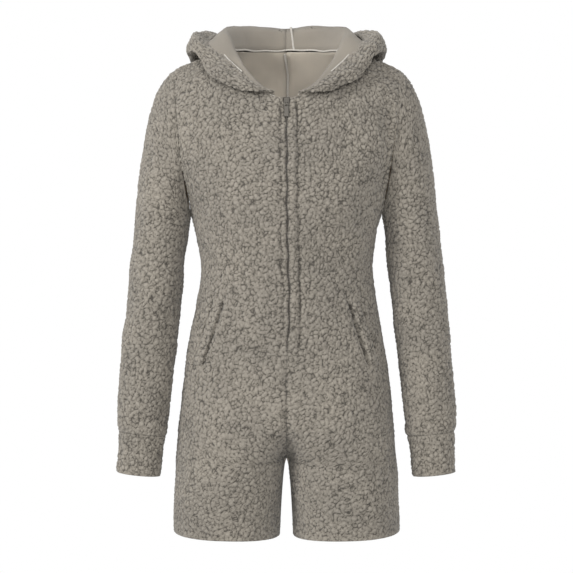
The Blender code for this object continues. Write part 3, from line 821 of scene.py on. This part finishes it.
# %% Hood
def hood_shape(base, n, side):
    """Lift, edge, calm and painted shade, none here, of a hood half: swells along the fold, its seams, its
    open edge.
    """
    front_end, centre, seam, opening = edge_distances(base)
    flat = base.reshape(-1, 3)
    lift = 1.1 * waves(flat, 34, 6.0).reshape(base.shape[:2]) * ease(seam / 12) * ease(opening / 12)
    lift = lift * ease(centre / 14) - 0.5 * bell(opening - 9, 3)
    edge = -1.0 * bell(seam, 2.2) - 1.4 * bell(centre, 2.4) - 1.0 * bell(front_end, 2)
    edge = edge + roll(opening, 2.6) * 0.55
    calm = (1 - 0.5 * bell(opening, 5)) * (1 - 0.6 * bell(seam, 4)) * (1 - 0.4 * bell(centre, 3))
    return lift, np.maximum(edge, EDGE_DEEPEST), calm, 0 * seam


for side, word in SIDES:
    cloth["hood_" + word] = dress("hood", forms["hood"], side, hood_shape)
print({name: thing["triangles"] for name, thing in list(cloth.items())[8:]})

# %% [markdown]
# ## Pocket welts
# Each pocket has a strip sewn down on its outer edge and free on its inner one, where the hand goes
# in.  It is a narrow shell laid on the front panel, thickest at the free edge.


# %% Pocket welts
WELT_ROWS, WELT_COLUMNS = 71, 17
WELT_BASE, WELT_RISE, WELT_PILE = 0.4, 2.9, 1.8     # heights above the front: edge, strip, pile on it
WELT_LONG = 104.6           # cut length of the strip


def front_points(x, z, side, out):
    """Points that far outside the front panel, its creases included; side -1 is the wearer's right."""
    step = 0.5
    y = -reach(x, z, "front") - SEAM
    slope_x = (-reach(x + step, z, "front") + reach(x - step, z, "front")) / (2 * step)
    slope_z = (-reach(x, z + step, "front") + reach(x, z - step, "front")) / (2 * step)
    n = np.stack([slope_x * side, -np.ones_like(x), slope_z], axis=-1)
    n /= np.linalg.norm(n, axis=-1, keepdims=True)
    base = np.stack([x * side, y, z], axis=-1)
    lift = creases(base, "front") + drape(base)
    return base + n * (lift + out)[..., None]


def welt(side, word):
    """Strip along the pocket's line: rows down it, columns across it from the free edge to the sewn one."""
    along = np.linspace(-0.02, 1.02, WELT_ROWS)[:, None]
    share = np.linspace(0, 1, WELT_COLUMNS)[None, :]
    x = POCKET_TOP[0] + (POCKET_FOOT[0] - POCKET_TOP[0]) * along + POCKET_WELT * share
    z = POCKET_TOP[1] + (POCKET_FOOT[1] - POCKET_TOP[1]) * along + 0 * share
    crown = np.sqrt(np.clip(1 - (2 * share - 1) ** 6, 0, 1)) * (1 - 0.5 * share**2)
    ends = np.sqrt(np.clip(1 - (2 * along - 1) ** 18, 0, 1))
    pile = pile_height(front_points(x, z, side, 0 * x).reshape(-1, 3)).reshape(x.shape)
    rise = WELT_BASE + (WELT_RISE + WELT_PILE * (pile - 0.35)) * crown * ends
    outside = front_points(x, z, side, rise)
    rows, columns = picks(WELT_ROWS, 5), picks(WELT_COLUMNS, 4)
    inside = front_points(x, z, side, 0 * x + 0.1)[np.ix_(rows, columns)]
    n = normals(outside, False)[WELT_ROWS // 2, WELT_COLUMNS // 2]
    return shell(f"pocket_strip_{word}", outside, inside, rows, columns, pile, flip=bool(n[1] > 0))


for side, word in SIDES:
    cloth["pocket_welt_" + word] = welt(side, word)
print("welts:", cloth["pocket_welt_left"]["triangles"], "triangles each")

# %% [markdown]
# ## Zip
# A coil zip on two tapes lies behind the front edges.  The tapes are plain strips, the teeth are small
# blocks that take turns from the two sides, and the slider and its pull keep their solids' shapes with
# their edges eased.

# %% Tapes, teeth and metal
TAPE_HALF, TAPE_DEEP, TAPE_WALL = 13, 3.0, 1.0
TAPE_ROWS, TAPE_COLUMNS = 120, 7
TAPE_LONG, TAPE_COVERS = 405, 403       # its cut length, and the length its area is counted over
TOOTH_PITCH, TOOTH = 2.5, (2.6, 1.1, 1.3)
TOOTH_ASIDE, TOOTH_DEEP = 0.75, 2.2
BEVEL = 0.28


def zip_line(z):
    """Points of the zip's middle on the front, at heights."""
    return np.stack([zip_wander(z), -reach(0 * z, z, "front") - SEAM, z], axis=-1)


def tape(side, word):
    """Strip behind a front edge: rows down the zip, columns from its middle out."""
    z = np.linspace(ZIP_END, ZIP_TOP, TAPE_ROWS)[:, None]
    out = np.linspace(0.3, TAPE_HALF, TAPE_COLUMNS)[None, :]
    x = zip_wander(z) * side + out
    y = -reach(x, z, "front") + TAPE_DEEP
    front = np.stack([side * x, y, z + 0 * x], axis=-1)
    behind = front + np.array([0, TAPE_WALL, 0])
    n = normals(front, False)[TAPE_ROWS // 2, TAPE_COLUMNS // 2]
    full = np.full(front.shape[:2], 0.6)
    rows, columns = np.arange(TAPE_ROWS), np.arange(TAPE_COLUMNS)
    return shell(f"tape_{word}", front, behind, rows, columns, full, flip=bool(n[1] > 0))


def blocks(name, centres, size):
    """Boxes of one size round many centres, as one mesh."""
    corner = np.array(list(np.ndindex(2, 2, 2)), float) - 0.5
    points = (centres[:, None] + corner * np.array(size)).reshape(-1, 3)
    faces = np.array([(0, 1, 3, 2), (4, 6, 7, 5), (0, 4, 5, 1),
                      (2, 3, 7, 6), (0, 2, 6, 4), (1, 5, 7, 3)])
    every = (np.arange(len(centres))[:, None, None] * 8 + faces).reshape(-1, 4)
    thing = add_mesh(name, points, every.tolist())
    thing.data.shade_flat()
    return thing


def eased(node):
    """Merged copy of a metal solid, with its edges rounded by a small bevel."""
    copy = bpy.data.objects.new(node + "_metal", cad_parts[node].data.copy())
    bpy.context.scene.collection.objects.link(copy)
    shape = bmesh.new()
    shape.from_mesh(copy.data)
    bmesh.ops.remove_doubles(shape, verts=shape.verts, dist=1e-6)
    bmesh.ops.dissolve_limit(shape, angle_limit=0.01, verts=shape.verts, edges=shape.edges)
    shape.to_mesh(copy.data)
    shape.free()
    bevel = copy.modifiers.new("eased", "BEVEL")
    bevel.width, bevel.segments, bevel.limit_method = BEVEL * MM, 2, "ANGLE"
    return copy


for side, word in SIDES:
    cloth["zip_tape_" + word] = tape(side, word)
height = np.arange(ZIP_END + 3, ZIP_TOP - 14, TOOTH_PITCH)
middle = zip_line(height)
turns = np.where(np.arange(len(height)) % 2 == 0, TOOTH_ASIDE, -TOOTH_ASIDE)
offset = np.stack([turns, 0 * turns + TOOTH_DEEP, 0 * turns], axis=-1)
teeth = blocks("zip_teeth", middle + offset, TOOTH)
metal = {node: eased(node) for node in ("zip_slider", "zip_pull")}
print("teeth:", len(height))

# %% [markdown]
# ## Serged seams
# Inside, the raw edges are overlocked with pale thread.  That shows in the neck: round the neck seam,
# up the hood's middle and down the middle of the back.  Each is a flat cord with the loops of its
# stitch, swept along its seam.


# %% Serging
CORD_STEP, CORD_SIDES, CORD_END = 0.7, 8, 1.4
LOOP_LONG, LOOP_DEEP = 2.1, 0.22    # the stitch's loops along the cord
EDGE_SHOWS = (36, 66)       # columns of the hood between which the edge's thread shows
HOOD_CORD_ROWS = 62         # rows of the hood that its middle cord follows


def sweep(name, path, across, away, wide, thick):
    """Closed tube along a path: an ellipse in the two given directions, pinched by the stitch's loops."""
    steps = np.linalg.norm(np.diff(path, axis=0), axis=1)
    length = np.concatenate([[0], np.cumsum(steps)])
    even = np.arange(0, length[-1], CORD_STEP)

    def along(values):
        return np.stack([np.interp(even, length, values[:, k]) for k in range(3)], axis=-1)

    centre, u, v = along(path), along(across), along(away)
    angle = np.linspace(0, 2 * math.pi, CORD_SIDES, endpoint=False)
    loop = 1 + LOOP_DEEP * np.sin(even / LOOP_LONG * 2 * math.pi)[:, None]
    ends = np.sqrt(np.clip(np.minimum(even, even[-1] - even) / CORD_END, 0.02, 1))[:, None]
    ring_u = (wide * loop * ends * np.cos(angle))[..., None] * u[:, None]
    ring_v = (thick * loop * ends * np.sin(angle))[..., None] * v[:, None]
    grid = centre[:, None] + ring_u + ring_v
    index = np.arange(grid.shape[0] * CORD_SIDES).reshape(-1, CORD_SIDES)
    faces = quads(index, True).tolist() + [index[0, ::-1].tolist(), index[-1].tolist()]
    thing = add_mesh(name, grid.reshape(-1, 3), faces)
    shape = bmesh.new()
    shape.from_mesh(thing.data)
    bmesh.ops.recalc_face_normals(shape, faces=shape.faces)
    shape.to_mesh(thing.data)
    shape.free()
    return thing


def inside_line(points, n, depth):
    """Points moved to the smooth side of the cloth."""
    return points - n * depth


def neck_serging():
    """Cord round the inside of the whole neck seam, from one end of the hood to the other."""
    half = neck_seam(HOOD_PLACES)
    heading = np.radians(column(HOOD, HOOD_NAMES, "heading", np.linspace(0, 1, HOOD_PLACES), level=True))
    away = np.stack([np.sin(heading), -np.cos(heading), 0 * heading], axis=-1)
    mirror = np.array([-1, 1, 1])
    seam = np.concatenate([half, (half * mirror)[::-1][1:]])
    out = np.concatenate([away, (away * mirror)[::-1][1:]])
    wave = 0.6 * np.sin(np.arange(len(seam)) / 4.0) + 0.8 * np.sin(np.arange(len(seam)) / 11.0 + 1)
    path = seam - out * (WALL + 1.2) + np.array([0, 0, 1.0]) + wave[:, None] * np.array([0, 0, 1])
    up = np.tile([0.0, 0, 1], (len(seam), 1))
    return sweep("neck_serging", path, up, out, 1.5, 0.9)


def hood_serging():
    """Cord up the inside of the hood's middle seam, from the neck over the crest into the fold."""
    form = forms["hood"]
    n, _ = outward("hood", form, 1, False)
    rows = slice(0, HOOD_CORD_ROWS)
    slide = np.interp(np.arange(HOOD_CORD_ROWS), (0, 12, 24, 61), (9.0, 6.5, 3.0, 1.5))
    place = form[rows, -3] + np.stack([slide, 0 * slide, 0 * slide], axis=-1)
    path = inside_line(place, n[rows, -3], WALL + 2.8)
    across = np.tile([1.0, 0, 0], (HOOD_CORD_ROWS, 1))
    return sweep("hood_serging", path, across, n[rows, -3], 1.8, 0.9)


def back_serging():
    """Cord down the inside of the back's middle seam, wandering where it isn't sewn down; it keeps clear
    of the seam's valley at the seat and waist."""
    form = forms["back"][::-1]
    n, _ = outward("back", forms["back"], 1, False)
    line, n = form[4:, 1], n[::-1][4:, 1]
    z = line[:, 2]
    shift = 1.2 * np.sin(z / 19.0) + np.interp(z, (-70, -35, -5, 10, 28), (-1.5, 0.8, 0.5, -2.6, -6.0))
    deep = WALL + 4.0 + 4.5 * ease((-380 - z) / 120) + 3.5 * bell(z + 322, 22)
    path = inside_line(line, n, deep[:, None]) + np.stack([shift, 0 * z, 0 * z], axis=-1)
    keep = z > CROTCH + 8
    across = np.tile([1.0, 0, 0], (int(keep.sum()), 1))
    return sweep("back_serging", path[keep], across, n[keep], 2.1, 0.9)


def edge_serging(side, word):
    """Short cord on the hood's open edge, where its overlocking peeps out above the lobe."""
    form = forms["hood"]
    n, _ = outward("hood", form, 1, False)
    first, last = EDGE_SHOWS
    mirror = np.array([side, 1, 1])
    path = inside_line(form[-1, first:last], n[-1, first:last], 0.4) * mirror
    across = np.gradient(form, axis=0)[-1, first:last]
    across = across / np.linalg.norm(across, axis=-1, keepdims=True) * mirror
    return sweep(f"edge_serging_{word}", path, across, n[-1, first:last] * mirror, 1.3, 0.9)


serging = [neck_serging(), hood_serging(), back_serging()] + [edge_serging(*row) for row in SIDES]
print("serging:", [len(cord.data.polygons) for cord in serging], "faces")

# %% [markdown]
# ## Finishes
# The pile's colour follows its height: darkest in the cracks, which is painted shade, warm taupe grey on
# the knots, and lighter at the tips.  Fine fibres are bump, and sheen gives the soft edge that pile has.
# The inside is a fine knit, with its ribs as bump; on the body it is painted paler, as painted light.


# %% Materials
def link(tree, source, output, target, socket):
    """Join two nodes' sockets."""
    tree.links.new(source.outputs[output], target.inputs[socket])


def new_material(name, roughness, sheen=0.0, metallic=0.0):
    """Empty finish: its node tree and its shader with the even values set on the shader's own sockets."""
    material = bpy.data.materials.new(name)
    material.use_nodes = True
    tree = material.node_tree
    shader = tree.nodes["Principled BSDF"]
    shader.inputs["Roughness"].default_value = roughness
    shader.inputs["Metallic"].default_value = metallic
    shader.inputs["Sheen Weight"].default_value = sheen
    shader.inputs["Sheen Roughness"].default_value = 0.55
    shader.inputs["Specular IOR Level"].default_value = 0.25
    return material, tree, shader


def node(tree, kind, **values):
    """Node of a kind; a value whose name is a socket's sets that socket, and any other sets a property."""
    made = tree.nodes.new(kind)
    for key, value in values.items():
        title = key.replace("_", " ").title()
        if title in made.inputs:
            made.inputs[title].default_value = value
        else:
            setattr(made, key, value)
    return made


def ramp(tree, stops):
    """Colour ramp with the given (place, colour) stops."""
    made = tree.nodes.new("ShaderNodeValToRGB")
    line = made.color_ramp.elements
    while len(line) < len(stops):
        line.new(0.5)
    for element, (place, colour) in zip(line, stops):
        element.position = place
        element.color = (*colour, 1)
    return made


def mixed(tree, factor, first, second, blend="MIX"):
    """Colour mix of two colour outputs, with a factor that is an output or a number."""
    made = tree.nodes.new("ShaderNodeMix")
    made.data_type, made.blend_type = "RGBA", blend
    if isinstance(factor, (int, float)):
        made.inputs[0].default_value = factor
    else:
        tree.links.new(factor, made.inputs[0])
    tree.links.new(first, made.inputs[6])
    tree.links.new(second, made.inputs[7])
    return made.outputs[2]


def texture(tree, place, kind, **values):
    """Texture node that reads the object's own coordinates."""
    made = node(tree, kind, **values)
    link(tree, place, "Object", made, "Vector")
    return made


def added(tree, first, second):
    """Sum of two outputs."""
    made = node(tree, "ShaderNodeMath", operation="ADD")
    tree.links.new(first, made.inputs[0])
    tree.links.new(second, made.inputs[1])
    return made.outputs[0]


def bumped(tree, shader, height, strength, distance):
    """Bump of a height output, joined to the shader."""
    bump = node(tree, "ShaderNodeBump", strength=strength, distance=distance)
    tree.links.new(height, bump.inputs["Height"])
    link(tree, bump, "Normal", shader, "Normal")


def darker(colour, share):
    """A colour with every channel times a share, which may be above 1."""
    return tuple(share * channel for channel in colour)


CRACK_PAINTED_SHADE, BODY_TONE, TIP = (0.056, 0.050, 0.042), (0.194, 0.175, 0.147), (0.268, 0.244, 0.209)
KNIT_TONE, KNIT_SHADE = (0.300, 0.269, 0.226), (0.235, 0.210, 0.176)
FIBRES, PATCHES, BENDS, KNOTS, RIBS = 900.0, 16.0, 110.0, 150.0, 260.0     # scales of the textures
BEND = 0.006                # how far the small knots' texture is bent, in metres


def fleece_material(name, knit_painted_light):
    """Pile outside and knit inside, told apart by the cloth's own values; the knit may be painted paler, as
    painted light.
    """
    material, tree, shader = new_material(name, 0.95, sheen=0.18)
    place = node(tree, "ShaderNodeTexCoord")
    pile = node(tree, "ShaderNodeAttribute", attribute_name="pile").outputs["Fac"]
    knit = node(tree, "ShaderNodeAttribute", attribute_name="knit").outputs["Fac"]
    fibre = texture(tree, place, "ShaderNodeTexNoise", scale=FIBRES, detail=4.0)
    patch = texture(tree, place, "ShaderNodeTexNoise", scale=PATCHES, detail=3.0)
    bend = texture(tree, place, "ShaderNodeTexNoise", scale=BENDS, detail=2.0)
    ribs = texture(tree, place, "ShaderNodeTexWave", scale=RIBS, distortion=1.2, detail=2.0)
    uneven = node(tree, "ShaderNodeMath", operation="MULTIPLY_ADD")
    uneven.inputs[1].default_value, uneven.inputs[2].default_value = 0.35, -0.175
    link(tree, fibre, "Fac", uneven, 0)
    warped = node(tree, "ShaderNodeVectorMath", operation="MULTIPLY_ADD")
    warped.inputs[1].default_value = (BEND, BEND, BEND)
    link(tree, bend, "Color", warped, 0)
    link(tree, place, "Object", warped, 2)
    knots = node(tree, "ShaderNodeTexVoronoi", feature="DISTANCE_TO_EDGE", scale=KNOTS)
    link(tree, warped, "Vector", knots, "Vector")
    crisp = node(tree, "ShaderNodeMapRange", interpolation_type="SMOOTHSTEP")
    crisp.inputs["From Max"].default_value = 0.17
    crisp.inputs["To Min"].default_value, crisp.inputs["To Max"].default_value = -0.30, 0.05
    link(tree, knots, "Distance", crisp, "Value")
    height = added(tree, pile, added(tree, uneven.outputs[0], crisp.outputs["Result"]))
    # Painted shade: the ramp's low end is the crack colour, so the cracks between the knots, and the grooves
    # and seams given painted shade, are painted as in shadow.
    colour = ramp(tree, ((0.0, CRACK_PAINTED_SHADE), (0.42, BODY_TONE), (1.0, TIP)))
    tree.links.new(height, colour.inputs["Fac"])
    cloudy = ramp(tree, ((0.3, (0.90, 0.90, 0.90)), (0.7, (1.08, 1.075, 1.06))))
    link(tree, patch, "Fac", cloudy, "Fac")
    inner = ramp(tree, ((0.0, darker(KNIT_SHADE, knit_painted_light)), (1.0, darker(KNIT_TONE, knit_painted_light))))
    link(tree, ribs, "Fac", inner, "Fac")
    faces = [mixed(tree, 1.0, tone.outputs[0], cloudy.outputs[0], "MULTIPLY") for tone in (colour, inner)]
    tree.links.new(mixed(tree, knit, *faces), shader.inputs["Base Color"])
    relief = node(tree, "ShaderNodeMix", data_type="FLOAT")
    for socket, source in ((0, knit), (2, height), (3, ribs.outputs["Fac"])):
        tree.links.new(source, relief.inputs[socket])
    bumped(tree, shader, relief.outputs[0], 0.7, 0.0011)
    return material


def grained_material(name, colour, scale, finish, shade, top, bump):
    """One colour with a fine grain in its tone and bump: thread, woven tape or dull metal."""
    material, tree, shader = new_material(name, **finish)
    grain = texture(tree, node(tree, "ShaderNodeTexCoord"), "ShaderNodeTexNoise", scale=scale, detail=3.0)
    tone = ramp(tree, ((0.3, darker(colour, shade)), (top, colour)))
    link(tree, grain, "Fac", tone, "Fac")
    link(tree, tone, "Color", shader, "Base Color")
    bumped(tree, shader, grain.outputs["Fac"], *bump)
    return material


def thread_material(name, colour, scale, roughness=0.85):
    """Spun thread or woven tape."""
    finish = {"roughness": roughness, "sheen": 0.1}
    return grained_material(name, colour, scale, finish, 0.62, 0.65, (0.4, 0.0003))


def metal_material(name, colour):
    """Dull cast metal."""
    finish = {"roughness": 0.42, "metallic": 1.0}
    return grained_material(name, colour, 1400.0, finish, 0.8, 0.7, (0.15, 0.0001))


# Painted light: the body's knit inside is painted 2.4 times its own tone, for light the lamps give it weakly
# inside the neck; the hood's knit 1.05 times.
fleece = fleece_material("taupe_fleece_painted_light_inside", 2.4)
hood_fleece = fleece_material("taupe_hood_fleece", 1.05)
serge = thread_material("serging_thread", (0.52, 0.49, 0.44), 700.0)
woven = thread_material("zip_tape_weave", (0.07, 0.062, 0.052), 900.0)
coil = thread_material("zip_coil", (0.09, 0.08, 0.068), 1200.0, roughness=0.5)
pewter = metal_material("dull_metal", (0.14, 0.13, 0.115))
print("finishes:", [material.name for material in bpy.data.materials])

# %% [markdown]
# ## What rides on what, and the cut
# Every piece moves with a body of the frame and takes the place of its solid.  The size each cloth
# piece is cut to is worked out and printed.  A panel's cut is its form laid flat: its widest row, its
# longest column, and the form's own area.


def flat_size(form, closed):
    """Widest row, longest column and area of a form laid flat, in metres."""
    grid = np.concatenate([form, form[:, :1]], axis=1) if closed else form
    across = np.linalg.norm(np.diff(grid, axis=1), axis=-1).sum(axis=1).max()
    along = np.linalg.norm(np.diff(grid, axis=0), axis=-1).sum(axis=0).max()
    a, b = grid[1:, 1:] - grid[:-1, :-1], grid[1:, :-1] - grid[:-1, 1:]
    area = np.linalg.norm(np.cross(a, b), axis=-1).sum() / 2
    return across * MM, along * MM, area * MM * MM


cuts = {name: flat_size(form, name in ("sleeve", "cuff")) for name, form in forms.items()}
cuts["pocket_welt"] = (POCKET_WELT * MM, WELT_LONG * MM, POCKET_WELT * WELT_LONG * MM * MM)
cuts["zip_tape"] = (TAPE_HALF * MM, TAPE_LONG * MM, TAPE_HALF * TAPE_COVERS * MM * MM)
for name, thing in cloth.items():
    kind = name.rsplit("_", 1)[0]
    thing.data.materials.append({"zip_tape": woven, "hood": hood_fleece}.get(kind, fleece))
    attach(thing, "romper")
    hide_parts(name)
for thing in serging + [teeth]:
    thing.data.materials.append(coil if thing is teeth else serge)
    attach(thing, "romper")
for name, thing in metal.items():
    thing.data.materials.clear()
    thing.data.materials.append(pewter)
    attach(thing, "pull" if name == "zip_pull" else "romper")
    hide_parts(name)
for name, thing in cloth.items():
    wide, long, area = cuts[name.rsplit("_", 1)[0]]
    area = min(area, wide * long)
for name, (wide, long, area) in cuts.items():
    print(f"{name}: {wide * 1000:.0f} x {long * 1000:.0f} mm, {area * 1e4:.0f} cm2")

# %% [markdown]
# ## Studio
# A pale floor lies where the wearer would stand.  A large soft lamp stands above the front on the
# wearer's right, and a weaker one nearly straight ahead opens the shadows inside the neck.  The room
# is white, but lights the cloth less than it shows.

# %% Floor, light and camera
FLOOR = -1.45
CAMERA_PLACE, LENS = (0, -2.6, -0.356), 102.1
ROOM_LIGHT = 0.72
LAMP_NAMES = ("name", "place", "size", "power")
LAMPS = (("soft_key", (-2.3, -1.7, 0.9), 1.0, 62.0), ("soft_fill", (0.3, -2.6, 0.4), 1.2, 34.0))
LAMP_AIM = (0, 0, -0.35)

bpy.ops.mesh.primitive_circle_add(vertices=64, radius=1.1, fill_type="NGON", location=(0, 0, FLOOR))
floor = bpy.context.object
floor.name = "floor"
paper, _, paper_shader = new_material("pale_floor", 0.9)
paper_shader.inputs["Base Color"].default_value = (0.8, 0.8, 0.79, 1)
floor.data.materials.append(paper)

world = bpy.data.worlds.new("white_room")
world.use_nodes = True
room = world.node_tree
seen = room.nodes.new("ShaderNodeLightPath")
walls = room.nodes.new("ShaderNodeMapRange")
walls.inputs["To Min"].default_value, walls.inputs["To Max"].default_value = ROOM_LIGHT, 1.0
room.links.new(seen.outputs["Is Camera Ray"], walls.inputs["Value"])
room.links.new(walls.outputs["Result"], room.nodes["Background"].inputs["Strength"])
room.nodes["Background"].inputs["Color"].default_value = (1, 1, 1, 1)
bpy.context.scene.world = world


def aimed(thing, place, aim):
    """Put a lamp or camera at a place, looking at a point."""
    from_here = np.array(aim, float) - np.array(place, float)
    turn = math.atan2(-from_here[0], from_here[1])
    tip = math.atan2(math.hypot(from_here[0], from_here[1]), -from_here[2])
    thing.location = place
    thing.rotation_euler = (tip, 0, turn)
    bpy.context.scene.collection.objects.link(thing)


for row in LAMPS:
    name, place, size, power = (row[LAMP_NAMES.index(key)] for key in LAMP_NAMES)
    lamp = bpy.data.lights.new(name, "AREA")
    lamp.size, lamp.energy = size, power
    aimed(bpy.data.objects.new(name, lamp), place, LAMP_AIM)
lens = bpy.data.cameras.new("camera")
lens.lens, lens.sensor_width = LENS, 36
camera = bpy.data.objects.new("camera", lens)
aimed(camera, CAMERA_PLACE, (0, 0, CAMERA_PLACE[2]))
bpy.context.scene.camera = camera
bpy.context.scene.view_settings.view_transform = "Standard"
